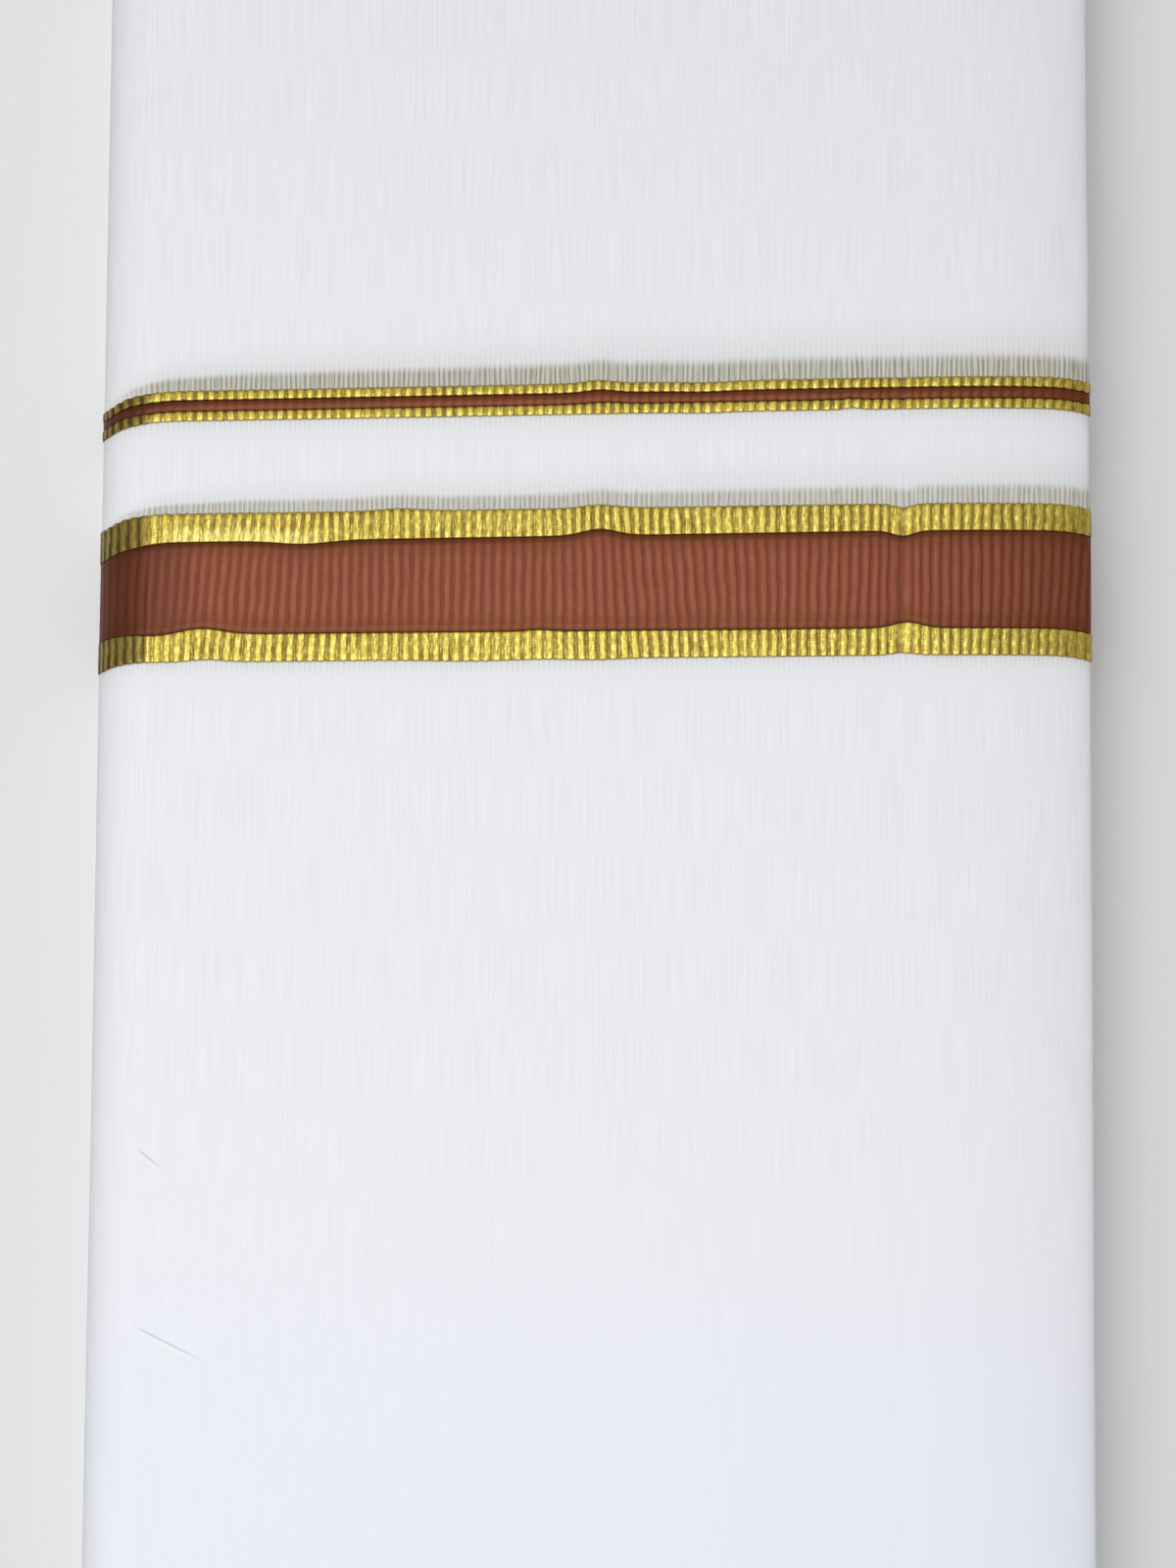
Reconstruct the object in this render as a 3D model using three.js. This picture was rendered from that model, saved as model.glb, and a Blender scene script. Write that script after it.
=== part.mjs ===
// A folded dhoti: one woven length of white cotton with a brown and gold border, laid flat.
//
// The cloth is folded in three across its width, its ends are folded to its middle three
// times, and the strip is closed like a book. The book's spine lies on the left (-X). On the
// right (+X) the two halves end in one round nose each, with a narrow slit between them.
// The outermost packet of three plies is a wall that starts in the slit, goes round the upper
// nose, over the top, round the spine, under the bottom and round the lower nose. It is split
// where the woven border changes from white to gold to brown. The hidden packets are one
// solid whose two ends are stepped and rounded packet by packet.
//
// Millimetres, +Z up, origin at the middle of the face that the bundle rests on.
import * as THREE from 'three';

// The cloth as it comes off the loom, and how many times it is folded.
const cloth = { length: 4000, width: 1270, ply: 0.5 };
const folds = { acrossWidth: 3, alongLength: 16 };

// The folded bundle.
const bundle = {
  halfWidth: cloth.length / folds.alongLength / 2,
  halfLength: cloth.width / folds.acrossWidth / 2,
  height: cloth.ply * folds.acrossWidth * folds.alongLength,
};
const packet = cloth.ply * folds.acrossWidth;
const seamGap = 0.3;

// The slit between the two halves of the book, and where the outer packet's tails end in it.
const slit = { gap: 0.6, middle: bundle.height / 2, tailEnd: 104 };
const arm = (bundle.height - slit.gap) / 2;

// The folds, as superellipse quarters: how far each reaches in from the fold's edge, and its
// exponent. An exponent above 2 gives a blunter edge.
const spine = {
  upper: { reach: 14, exponent: 2 },
  lower: { reach: 13, exponent: 2 },
};
const upperNose = {
  tip: { x: bundle.halfWidth, z: bundle.height - arm / 2 },
  upper: { reach: 34, exponent: 2.4 },
  lower: { reach: 9, exponent: 2 },
};
const lowerNose = {
  tip: { x: bundle.halfWidth - 0.8, z: arm / 2 },
  upper: { reach: 9, exponent: 2 },
  lower: { reach: 9, exponent: 2 },
};
const quarterSteps = 6;

// The bundle thins towards its noses: where that starts, and by which share it does at the edge.
const thinning = { from: 70, share: 0.16 };

// The border's edges on the top face: y at the middle of the width, and rise per millimetre to
// the right. Past the top face they run on with one common rise. Round the spine each edge is
// drawn towards the front by its own draw.
const borderEdges = {
  narrowBack: { y: 97.2, rise: 0.0262, draw: 2.5 },
  narrowBrownBack: { y: 94.65, rise: 0.0255, draw: 2.3 },
  narrowBrownFront: { y: 91.75, rise: 0.0248, draw: 1.9 },
  narrowFront: { y: 89.2, rise: 0.0241, draw: 1.8 },
  wideBack: { y: 65.5, rise: 0.021, draw: 1.9 },
  wideBrownBack: { y: 58.4, rise: 0.0227, draw: 2.6 },
  wideBrownFront: { y: 34.4, rise: 0.0154, draw: 0 },
  wideFront: { y: 27.4, rise: 0.0166, draw: 0.4 },
};
const commonRise = 0.012;

// Both folds draw every edge slightly towards the front, over a distance before the fold's edge.
// The spine's own draws start further in.
const foldDraw = { distance: 0.9, over: 12 };
const spineDraw = { from: 111, to: 126 };

// The hidden packets, from the outside in: how far each ends short of the outer packet.
const hiddenPackets = [
  { shortBack: 1.1, shortFront: 0.8 },
  { shortBack: 2.0, shortFront: 2.3 },
  { shortBack: 1.4, shortFront: 1.6 },
];
const hiddenPacket = (arm / 2 - packet - seamGap) / hiddenPackets.length;

// A hidden packet's round end: share of its thickness, and distance back from its tip. The last
// share is short of 1, so that the next packet starts with a small step.
const roundedTip = [
  { share: 0, back: 0.6 },
  { share: 0.2, back: 0.15 },
  { share: 0.49, back: 0 },
  { share: 0.78, back: 0.15 },
  { share: 0.98, back: 0.6 },
];

// Finishes.
const finishes = {
  white: { color: 0xe6e8ec, roughness: 0.85, metalness: 0 },
  gold: { color: 0xc3ac55, roughness: 0.4, metalness: 0.7 },
  brown: { color: 0x8c5037, roughness: 0.75, metalness: 0 },
};

const clamp = (value, low, high) => Math.min(Math.max(value, low), high);

// Evenly spaced numbers from a to b, both included.
function spaced(a, b, steps) {
  return Array.from({ length: steps + 1 }, (_, i) => a + ((b - a) * i) / steps);
}

// A point of the cross-section, pressed down where the bundle thins.
function pressed([x, z]) {
  const t = Math.max(0, (x - thinning.from) / (bundle.halfWidth - thinning.from));
  return [x, z * (1 - thinning.share * t ** 2)];
}

// A quarter of a superellipse, from quarter turn a to b: 0 is the fold's edge, +1 or -1 the
// face above or below it. The side is +1 for a fold on the right and -1 for one on the left.
function quarterArc({ tip, side, high, inset, shape, from, to }) {
  const power = 2 / shape.exponent;
  const centre = tip.x - side * shape.reach;
  return spaced(from, to, quarterSteps).map((quarter) => {
    const angle = (Math.abs(quarter) * Math.PI) / 2;
    const across = Math.abs(Math.cos(angle)) ** power;
    const up = Math.sign(quarter) * Math.sin(angle) ** power;
    return [centre + side * (shape.reach - inset) * across, tip.z + (high - inset) * up];
  });
}

// The upper or the lower quarter of a nose, from its face to its edge or from its edge to its face.
function noseArc(nose, part, inset, from, to) {
  return quarterArc({ tip: nose.tip, side: 1, high: arm / 2, inset, shape: nose[part], from, to });
}

// The spine, from the top face round to the underside.
function spineArc(inset) {
  const tip = { x: -bundle.halfWidth, z: slit.middle };
  const fold = { tip, side: -1, high: slit.middle, inset };
  return [
    ...quarterArc({ ...fold, shape: spine.upper, from: 1, to: 0 }),
    ...quarterArc({ ...fold, shape: spine.lower, from: 0, to: -1 }).slice(1),
  ];
}

// The slit's closed end, from its upper lip round to its lower lip, in as many steps as the spine.
function slitEndArc(halfGap) {
  const x = spine.lower.reach - bundle.halfWidth;
  return spaced(1, -1, 2 * quarterSteps).map((quarter) => {
    const angle = (quarter * Math.PI) / 2;
    return [x - halfGap * Math.cos(angle), slit.middle + halfGap * Math.sin(angle)];
  });
}

// The outer packet's path in cross-section, inset from its outer face, from tail to tail.
function wallPath(inset) {
  return [
    [slit.tailEnd, slit.middle + slit.gap / 2 + inset],
    ...noseArc(upperNose, 'lower', inset, -1, 0),
    ...noseArc(upperNose, 'upper', inset, 0, 1).slice(1),
    [0, bundle.height - inset],
    ...spineArc(inset),
    [0, inset],
    ...noseArc(lowerNose, 'lower', inset, -1, 0),
    ...noseArc(lowerNose, 'upper', inset, 0, 1).slice(1),
    [slit.tailEnd, slit.middle - slit.gap / 2 - inset],
  ].map(pressed);
}

// The distance along the cloth of each station, from the middle of the top face, + to the right.
function alongCloth(path) {
  const distance = [0];
  for (let i = 1; i < path.length; i += 1) {
    const step = Math.hypot(path[i][0] - path[i - 1][0], path[i][1] - path[i - 1][1]);
    distance.push(distance[i - 1] - step);
  }
  const middle = distance[path.findIndex(([x]) => x === 0)];
  return distance.map((d) => d - middle);
}
const along = alongCloth(wallPath(0));

// How far round the spine a point is: 0 on the top face, rising smoothly to 1.
function overSpine(distance) {
  const t = clamp((-distance - spineDraw.from) / (spineDraw.to - spineDraw.from), 0, 1);
  return t * t * (3 - 2 * t);
}

// The y of a border edge at a distance along the cloth, moved back by a seam's half gap.
function edgeLine(edge, shift) {
  return (distance) => {
    const onTop = clamp(distance, -bundle.halfWidth, bundle.halfWidth);
    const past = distance - onTop;
    const overFold = clamp((Math.abs(distance) + foldDraw.over - bundle.halfWidth) / foldDraw.over, 0, 1);
    const drawn = foldDraw.distance * overFold ** 2 + edge.draw * overSpine(distance);
    return edge.y + edge.rise * onTop + commonRise * past - drawn + shift;
  };
}

const straightLine = (y) => () => y;

// A closed solid from loops laid one behind the other along +Y. A loop is a list of pairs, an
// outer and an inner point at each station, so the end loops close as ladders of quads.
function solidOfLoops(loops) {
  const stations = loops[0].length;
  const ring = 2 * stations;
  const positions = loops.flatMap((loop) => [
    ...loop.flatMap((pair) => pair.outer),
    ...[...loop].reverse().flatMap((pair) => pair.inner),
  ]);
  const index = [];
  const quad = (a, b, c, d) => index.push(a, b, c, a, c, d);
  for (let start = 0; start < (loops.length - 1) * ring; start += ring) {
    for (let i = 0; i < ring; i += 1) {
      const next = (i + 1) % ring;
      quad(start + i, start + ring + i, start + ring + next, start + next);
    }
  }
  const last = (loops.length - 1) * ring;
  for (let i = 0; i + 1 < stations; i += 1) {
    const across = ring - 1 - i;
    quad(i, i + 1, across - 1, across);
    quad(last + across, last + across - 1, last + i + 1, last + i);
  }
  const geometry = new THREE.BufferGeometry();
  geometry.setAttribute('position', new THREE.Float32BufferAttribute(positions, 3));
  geometry.setIndex(index);
  geometry.computeVertexNormals();
  return geometry;
}

// One loop of the outer packet's wall: its faces, thinned by a trim on each side, on a line.
function wallLoop(line, trim) {
  const outer = wallPath(trim);
  const inner = wallPath(packet - trim);
  return outer.map(([x, z], i) => ({
    outer: [x, line(along[i]), z],
    inner: [inner[i][0], line(along[i]), inner[i][1]],
  }));
}

// A folded packet's end is round: the trim on each face and the distance back from the tip. The
// deepest trim leaves a narrow flat at the tip.
const deepestTrim = 0.9;

function roundedEnd(thickness, steps) {
  return spaced(0, 1, steps).map((t) => {
    const angle = (t * Math.PI) / 2;
    const radius = thickness / 2;
    return {
      trim: deepestTrim * radius * (1 - Math.cos(angle)),
      back: radius * (1 - Math.sin(angle)),
    };
  });
}

const outerEnd = roundedEnd(packet, 3);

// A stretch of the wall between two lines, from front to back, with plain or rounded ends.
function wallStretch(front, back) {
  const loops = [];
  if (front === null) {
    [...outerEnd].reverse().forEach(({ trim, back: inward }) => {
      loops.push(wallLoop(straightLine(-bundle.halfLength + inward), trim));
    });
  } else {
    loops.push(wallLoop(edgeLine(front, seamGap / 2), 0));
  }
  if (back === null) {
    outerEnd.forEach(({ trim, back: inward }) => {
      loops.push(wallLoop(straightLine(bundle.halfLength - inward), trim));
    });
  } else {
    loops.push(wallLoop(edgeLine(back, -seamGap / 2), 0));
  }
  return solidOfLoops(loops);
}

// The hidden packets' cross-section, inset from their own outside. Their outer side follows the
// wall's inner face. Their slit side steps in near the noses, where the wall's tails lie.
const behindTail = slit.tailEnd - seamGap;
const lipEnd = behindTail - packet;

function hiddenLoop(inset, y) {
  const outerInset = packet + seamGap + inset;
  const besideTail = slit.gap / 2 + outerInset;
  const besideSlit = slit.gap / 2 + inset;
  const upperStart = upperNose.tip.x - upperNose.upper.reach;
  const outer = [
    ...noseArc(upperNose, 'upper', outerInset, 0, 1),
    ...[upperStart - 1, 0].map((x) => [x, bundle.height - outerInset]),
    ...spineArc(outerInset),
    ...[0, lipEnd, behindTail].map((x) => [x, outerInset]),
    ...noseArc(lowerNose, 'lower', outerInset, -1, 0),
  ].map(pressed);
  const inner = [
    ...noseArc(upperNose, 'lower', outerInset, 0, -1),
    [behindTail, slit.middle + besideTail],
    [lipEnd, slit.middle + besideSlit],
    ...slitEndArc(besideSlit),
    [0, slit.middle - besideSlit],
    [lipEnd, slit.middle - besideSlit],
    [behindTail, slit.middle - besideTail],
    ...noseArc(lowerNose, 'upper', outerInset, 1, 0),
  ].map(pressed);
  return outer.map(([x, z], i) => ({ outer: [x, y, z], inner: [inner[i][0], y, inner[i][1]] }));
}

// The hidden packets as one solid: at each end the packets step in and end in round tips.
function hiddenLayers() {
  const tips = (short) => hiddenPackets.flatMap((row, order) => roundedTip.map((point) => ({
    inset: (order + point.share) * hiddenPacket,
    y: bundle.halfLength - row[short] - point.back,
  })));
  const front = tips('shortFront').reverse().map(({ inset, y }) => hiddenLoop(inset, -y));
  const back = tips('shortBack').map(({ inset, y }) => hiddenLoop(inset, y));
  return solidOfLoops([...front, ...back]);
}

// The sub-parts: the stretches of the outer packet from front to back, and what they cover.
const stretches = [
  { name: 'white_front', finish: 'white', front: null, back: 'wideFront' },
  { name: 'wide_gold_front', finish: 'gold', front: 'wideFront', back: 'wideBrownFront' },
  { name: 'wide_brown', finish: 'brown', front: 'wideBrownFront', back: 'wideBrownBack' },
  { name: 'wide_gold_back', finish: 'gold', front: 'wideBrownBack', back: 'wideBack' },
  { name: 'white_between', finish: 'white', front: 'wideBack', back: 'narrowFront' },
  { name: 'narrow_gold_front', finish: 'gold', front: 'narrowFront', back: 'narrowBrownFront' },
  { name: 'narrow_brown', finish: 'brown', front: 'narrowBrownFront', back: 'narrowBrownBack' },
  { name: 'narrow_gold_back', finish: 'gold', front: 'narrowBrownBack', back: 'narrowBack' },
  { name: 'white_back', finish: 'white', front: 'narrowBack', back: null },
];

function subPart(name, geometry, look) {
  const mesh = new THREE.Mesh(geometry, new THREE.MeshStandardMaterial(finishes[look]));
  mesh.name = name;
  return mesh;
}

const dhoti = new THREE.Group();
stretches.forEach(({ name, finish, front, back }) => {
  const geometry = wallStretch(borderEdges[front] ?? null, borderEdges[back] ?? null);
  dhoti.add(subPart(name, geometry, finish));
});
dhoti.add(subPart('hidden_layers', hiddenLayers(), 'white'));

export default dhoti;
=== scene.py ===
"""Looks of a folded dhoti: white cotton with a ribbed brown and gold border, lying flat.

Everything is in metres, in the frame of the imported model: +X towards the side with the two
noses, +Y along the bundle, +Z up. Each stretch of cloth is a grid of points. Its columns run
along the cloth: from the tail of the lower nose, under the bundle, round the spine, over the
top and round the upper nose. Its rows run along the bundle.
"""

import math

import bpy
import numpy as np
from mathutils import Matrix, Vector


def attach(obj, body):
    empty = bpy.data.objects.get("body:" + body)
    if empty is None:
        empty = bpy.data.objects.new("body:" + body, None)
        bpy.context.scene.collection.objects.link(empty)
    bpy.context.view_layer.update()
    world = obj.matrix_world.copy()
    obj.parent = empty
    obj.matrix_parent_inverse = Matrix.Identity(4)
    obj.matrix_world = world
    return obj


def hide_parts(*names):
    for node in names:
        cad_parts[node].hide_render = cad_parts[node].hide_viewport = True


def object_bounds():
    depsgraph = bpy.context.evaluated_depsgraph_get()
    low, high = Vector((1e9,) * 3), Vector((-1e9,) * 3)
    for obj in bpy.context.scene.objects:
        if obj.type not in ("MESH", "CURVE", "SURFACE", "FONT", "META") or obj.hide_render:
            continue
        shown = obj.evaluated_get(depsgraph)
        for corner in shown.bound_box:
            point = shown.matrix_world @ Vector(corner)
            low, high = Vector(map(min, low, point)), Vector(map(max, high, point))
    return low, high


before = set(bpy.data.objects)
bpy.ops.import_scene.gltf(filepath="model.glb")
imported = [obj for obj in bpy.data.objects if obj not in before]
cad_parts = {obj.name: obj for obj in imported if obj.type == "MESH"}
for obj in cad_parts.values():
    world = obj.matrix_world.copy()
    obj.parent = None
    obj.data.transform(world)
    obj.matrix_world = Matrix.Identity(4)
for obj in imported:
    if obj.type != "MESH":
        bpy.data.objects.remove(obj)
cad_low, cad_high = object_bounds()

# A millimetre in metres, and a full turn in radians for the random waves.
MM = 0.001
TURN = 6.28

# The bundle's size comes from the frame. A slit between the two noses parts its height into
# two arms, and both tails of the outer packet end in that slit.
HALF_WIDTH = cad_high.x
HALF_LENGTH = cad_high.y
HEIGHT = cad_high.z
SLIT_GAP = 0.6 * MM
MIDDLE = HEIGHT / 2
ARM = (HEIGHT - SLIT_GAP) / 2
TAIL_END = 104 * MM

# The folds as superellipse quarters: how far each reaches in from the fold's edge, its exponent.
SPINE = {"edge": -HALF_WIDTH, "upper": (14 * MM, 2.0), "lower": (13 * MM, 2.0)}
UPPER_NOSE = {"edge": HALF_WIDTH, "upper": (34 * MM, 2.4), "lower": (9 * MM, 2.0)}
LOWER_NOSE = {"edge": HALF_WIDTH - 0.8 * MM, "upper": (9 * MM, 2.0), "lower": (9 * MM, 2.0)}

# Where the bundle starts to thin towards its noses, and by which share it has at their edge.
THIN_FROM = 70 * MM
THIN_SHARE = 0.16

# How far apart the ribs are, and how the border edges run past the top face: their common
# slope, their draw forward over both side folds, and where the draw round the spine sets in.
RIB = 2.55 * MM
COMMON_RISE = 0.012
FOLD_DRAW = 0.9 * MM
FOLD_OVER = 12 * MM
SPINE_DRAW = (111 * MM, 126 * MM)

random = np.random.default_rng(16)


def smooth(low, high, value):
    """0 below low, 1 above high, and a smooth S between them."""
    t = np.clip((value - low) / (high - low), 0.0, 1.0)
    return t * t * (3.0 - 2.0 * t)


def random_waves(count):
    """Random waves as rows: their wave numbers along the cloth and along y, and their phase."""
    return random.uniform([-1, -1, 0], [1, 1, 6.3], (count, 3))


def wave_sum(waves, along, y, size_along, size_y):
    """The sum of sin(turn * (k_along * along / size_along + k_y * y / size_y) + phase)."""
    total = 0.0
    for k_along, k_y, phase in waves:
        total = total + np.sin(TURN * (k_along * along / size_along + k_y * y / size_y) + phase)
    return total


def bell(value, middle, width):
    """1 at the middle, falling as exp(-(distance / width)^2) either side."""
    return np.exp(-(((value - middle) / width) ** 2))


# ---------------------------------------------------------------- the path round the bundle


def pressed(points):
    """Cross-section points with z times 1 - share * t^2, t being the way to the noses' edge."""
    t = np.clip((points[:, 0] - THIN_FROM) / (HALF_WIDTH - THIN_FROM), 0, None)
    return np.stack([points[:, 0], points[:, 1] * (1 - THIN_SHARE * t**2)], 1)


def quarter(fold, part, side, middle, high, start, stop, inset=0.0, count=240):
    """A quarter of a superellipse as (x, z) rows: cos(angle)^(2/n) across, sin(angle)^(2/n) up."""
    reach, exponent = fold[part]
    turn = np.linspace(start, stop, count)
    angle = np.abs(turn) * np.pi / 2
    across = np.abs(np.cos(angle)) ** (2 / exponent)
    up = np.sign(turn) * np.sin(angle) ** (2 / exponent)
    x = fold["edge"] - side * reach + side * (reach - inset) * across
    return np.stack([x, middle + (high - inset) * up], 1)


def upper_nose(part, start, stop, inset=0.0, count=240):
    """The upper or the lower quarter of the upper nose."""
    return quarter(UPPER_NOSE, part, 1, HEIGHT - ARM / 2, ARM / 2, start, stop, inset, count)


def lower_nose(part, start, stop, inset=0.0, count=240):
    """The upper or the lower quarter of the lower nose."""
    return quarter(LOWER_NOSE, part, 1, ARM / 2, ARM / 2, start, stop, inset, count)


def spine(part, start, stop, inset=0.0, count=240):
    """The upper or the lower quarter of the spine."""
    return quarter(SPINE, part, -1, MIDDLE, MIDDLE, start, stop, inset, count)


def outer_path():
    """The outer face's cross-section from the lower tail to the upper tail, as (x, z) rows."""
    flat = np.linspace(THIN_FROM, HALF_WIDTH - UPPER_NOSE["upper"][0], 80, endpoint=False)
    return pressed(
        np.concatenate(
            [
                [[TAIL_END, MIDDLE - SLIT_GAP / 2]],
                lower_nose("upper", 1, 0),
                lower_nose("lower", 0, -1)[1:],
                spine("lower", -1, 0),
                spine("upper", 0, 1)[1:],
                np.stack([flat, np.full(len(flat), HEIGHT)], 1),
                upper_nose("upper", 1, 0),
                upper_nose("lower", 0, -1)[1:],
                [[TAIL_END, MIDDLE + SLIT_GAP / 2]],
            ]
        )
    )


def distances(points):
    """How far along a polyline each of its points lies."""
    steps = np.linalg.norm(np.diff(points, axis=0), axis=1)
    return np.concatenate([[0.0], np.cumsum(steps)])


def resampled(points, step):
    """The same polyline with its points a step apart, and their distances from the first."""
    at = distances(points)
    even = np.linspace(0, at[-1], int(round(at[-1] / step)) + 1)
    return np.stack([np.interp(even, at, points[:, k]) for k in range(2)], 1), even


def outward(points, window=13):
    """Unit normals: the path's gradient averaged over a window of points, turned left."""
    tangent = np.gradient(points, axis=0)
    padded = np.pad(tangent, ((window // 2, window // 2), (0, 0)), "edge")
    kernel = np.ones(window) / window
    tangent = np.stack([np.convolve(padded[:, k], kernel, "valid") for k in range(2)], 1)
    normal = np.stack([-tangent[:, 1], tangent[:, 0]], 1)
    return normal / np.linalg.norm(normal, axis=1, keepdims=True)


PATH, PATH_AT = resampled(outer_path(), 0.1 * MM)
NORMAL = outward(PATH)
on_top = PATH[:, 1] > HEIGHT - 1e-7
PATH_AT = PATH_AT - np.interp(0.0, PATH[on_top, 0], PATH_AT[on_top])
LOWER_TAIL, UPPER_TAIL = PATH_AT[0], PATH_AT[-1]
UNDER = (PATH_AT[np.argmax(PATH[:, 1] < 1e-7)], PATH_AT[::-1][np.argmax(PATH[::-1, 1] < 1e-7)])


def on_path(along, values):
    """Path values at distances along the cloth from the middle of the top face."""
    return np.stack([np.interp(along, PATH_AT, values[:, k]) for k in range(2)], -1)


def under_mask(along):
    """1 on the face that the bundle rests on, falling to 0 round its folds."""
    edge = 9 * MM
    return smooth(UNDER[0] - edge, UNDER[0], along) * (1 - smooth(UNDER[1], UNDER[1] + edge, along))


def spread(spans):
    """Distances along the cloth, spaced as each span (end, step) says, from the lower tail on."""
    parts, start = [], LOWER_TAIL
    for end, step in spans:
        count = max(1, int(round((end - start) / step)))
        parts.append(np.linspace(start, end, count, endpoint=False))
        start = end
    return np.concatenate([*parts, [start]])


# Columns are close on the folds and wide apart on the two flat faces.
FOLD_STEP = 0.8 * MM
FLAT_STEP = 2.2 * MM
SPINE_SIDE = -104 * MM
PLAIN_COLUMNS = spread(
    [
        (UNDER[0], FOLD_STEP),
        (UNDER[1], FLAT_STEP),
        (SPINE_SIDE, FOLD_STEP),
        (THIN_FROM, FLAT_STEP),
        (UPPER_TAIL, FOLD_STEP),
    ]
)
RIB_STEP = RIB / 10
UNDER_RIB_STEP = RIB / 6
RIBBED_COLUMNS = spread(
    [(UNDER[0], RIB_STEP), (UNDER[1], UNDER_RIB_STEP), (UPPER_TAIL, RIB_STEP)]
)


# ---------------------------------------------------------------- the border's edges


def top_edges(name):
    """The front and back edge of a CAD stretch on the top face: y at x = 0, and rise per metre.

    Each is the straight line that fits the least or the greatest y at every x best.
    """
    points = np.array([v.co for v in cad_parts[name].data.vertices])
    top = points[points[:, 2] > HEIGHT - 0.01 * MM]
    x = np.unique(np.round(top[:, 0], 5))
    rows = [top[np.abs(top[:, 0] - value) < 0.1 * MM, 1] for value in x]
    front = np.polyfit(x, [row.min() for row in rows], 1)[::-1]
    back = np.polyfit(x, [row.max() for row in rows], 1)[::-1]
    return front, back


# How far each border edge is drawn forward round the spine, in millimetres.
DRAWS = {
    ("narrow_gold_back", "white_back"): 2.5,
    ("narrow_brown", "narrow_gold_back"): 2.3,
    ("narrow_gold_front", "narrow_brown"): 1.9,
    ("white_between", "narrow_gold_front"): 1.8,
    ("wide_gold_back", "white_between"): 1.9,
    ("wide_brown", "wide_gold_back"): 2.6,
    ("wide_gold_front", "wide_brown"): 0.0,
    ("white_front", "wide_gold_front"): 0.4,
}

# Small pulls in each border edge: where along the cloth, how far back, how wide, in millimetres.
PULLS = {
    ("narrow_gold_back", "white_back"): [(0.5, 0.75, 5), (27, -0.35, 8), (-113, -0.6, 4.5)],
    ("narrow_brown", "narrow_gold_back"): [(1, 0.7, 5), (27, -0.3, 8), (-113, -0.6, 4.5)],
    ("narrow_gold_front", "narrow_brown"): [(2, 0.4, 6), (64, 0.3, 3), (-113, -0.5, 4.5)],
    ("white_between", "narrow_gold_front"): [(64.5, 0.4, 2.5), (27, -0.25, 8), (-114, -0.5, 5)],
    ("wide_gold_back", "white_between"): [(1, 0.8, 6), (-49, 0.6, 7), (77, -0.9, 3), (-113, -0.4, 4)],
    ("wide_brown", "wide_gold_back"): [(1, 1.6, 6), (-73, -0.9, 9), (77, -1.3, 3.5), (-114, -0.8, 5)],
    ("wide_gold_front", "wide_brown"): [(-98, 1.4, 7), (-110, -0.4, 5), (78, 1.5, 5), (-14, 0.4, 4)],
    ("white_front", "wide_gold_front"): [(-97, 0.6, 6), (-30, -0.4, 14), (0, -0.4, 8), (77, 0.6, 4)],
}
BORDER_LINES = {
    (front, back): (top_edges(front)[1] + top_edges(back)[0]) / 2 for front, back in PULLS
}


def border_edge(pair, along):
    """y of a border edge at distances along the cloth.

    It is the edge's line on the top face, less a draw that grows with the square of the way
    round each fold and another that eases in round the spine, plus a bell for each pull.
    """
    at_middle, rise = BORDER_LINES[pair]
    across = np.clip(along, -HALF_WIDTH, HALF_WIDTH)
    y = at_middle + rise * across + COMMON_RISE * (along - across)
    over = np.clip((np.abs(along) + FOLD_OVER - HALF_WIDTH) / FOLD_OVER, 0, 1)
    y = y - FOLD_DRAW * over**2 - DRAWS[pair] * MM * smooth(*SPINE_DRAW, -along)
    for place, height, width in PULLS[pair]:
        y = y + height * MM * bell(along / MM, place, width)
    return y


# ---------------------------------------------------------------- the relief

# Creases: both ends as (along the cloth, y), depth and half width, in millimetres. The fine
# ones lie beside the spine. The soft ones are on the faces that turn away.
FINE_CREASES = [
    ((-111.6, -95.2), (-105.2, -100.2), 0.3, 0.9),
    ((-111.9, -138.2), (-94.0, -147.0), 0.42, 1.0),
]
SOFT_CREASES = [
    ((-121.0, 168.0), (-104.0, 176.0), 0.35, 2.4),
    ((114.0, -60.0), (128.0, -84.0), 0.35, 2.6),
    ((-190.0, 130.0), (-168.0, 154.0), 0.6, 4.0),
    ((-212.0, -110.0), (-176.0, -138.0), 0.6, 4.5),
    ((-300.0, 170.0), (-322.0, 112.0), 0.6, 5.0),
    ((-340.0, -20.0), (-376.0, -62.0), 0.6, 4.5),
    ((-146.0, 6.0), (-128.0, -24.0), 0.4, 2.6),
    ((136.0, 150.0), (131.0, 118.0), 0.35, 2.4),
]

# Long soft swells over the whole bundle: along the cloth, height and width, in millimetres.
SWELLS = [(1.5, 0.10, 5), (-73, -0.10, 9), (77, -0.12, 5), (-200, -0.2, 14)]

# The ridge beside a crease: its share of the crease's depth, how many half widths away it
# lies, and the square of how many half widths it spreads.
RIDGE_SHARE = 0.7
RIDGE_AWAY = 1.9
RIDGE_SQUARE = 2.5

# Over which shares of its length a crease sets in and dies away.
CREASE_RISE = (-0.1, 0.2)
CREASE_FALL = (0.55, 1.15)

# The sharp line pressed along the left fold: where, how high, how far its sides reach, and how
# round its tip is.
FOLD_LINE = (-111.6 * MM, 0.4 * MM, 4.0 * MM)
FOLD_TIP = 0.3 * MM


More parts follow.
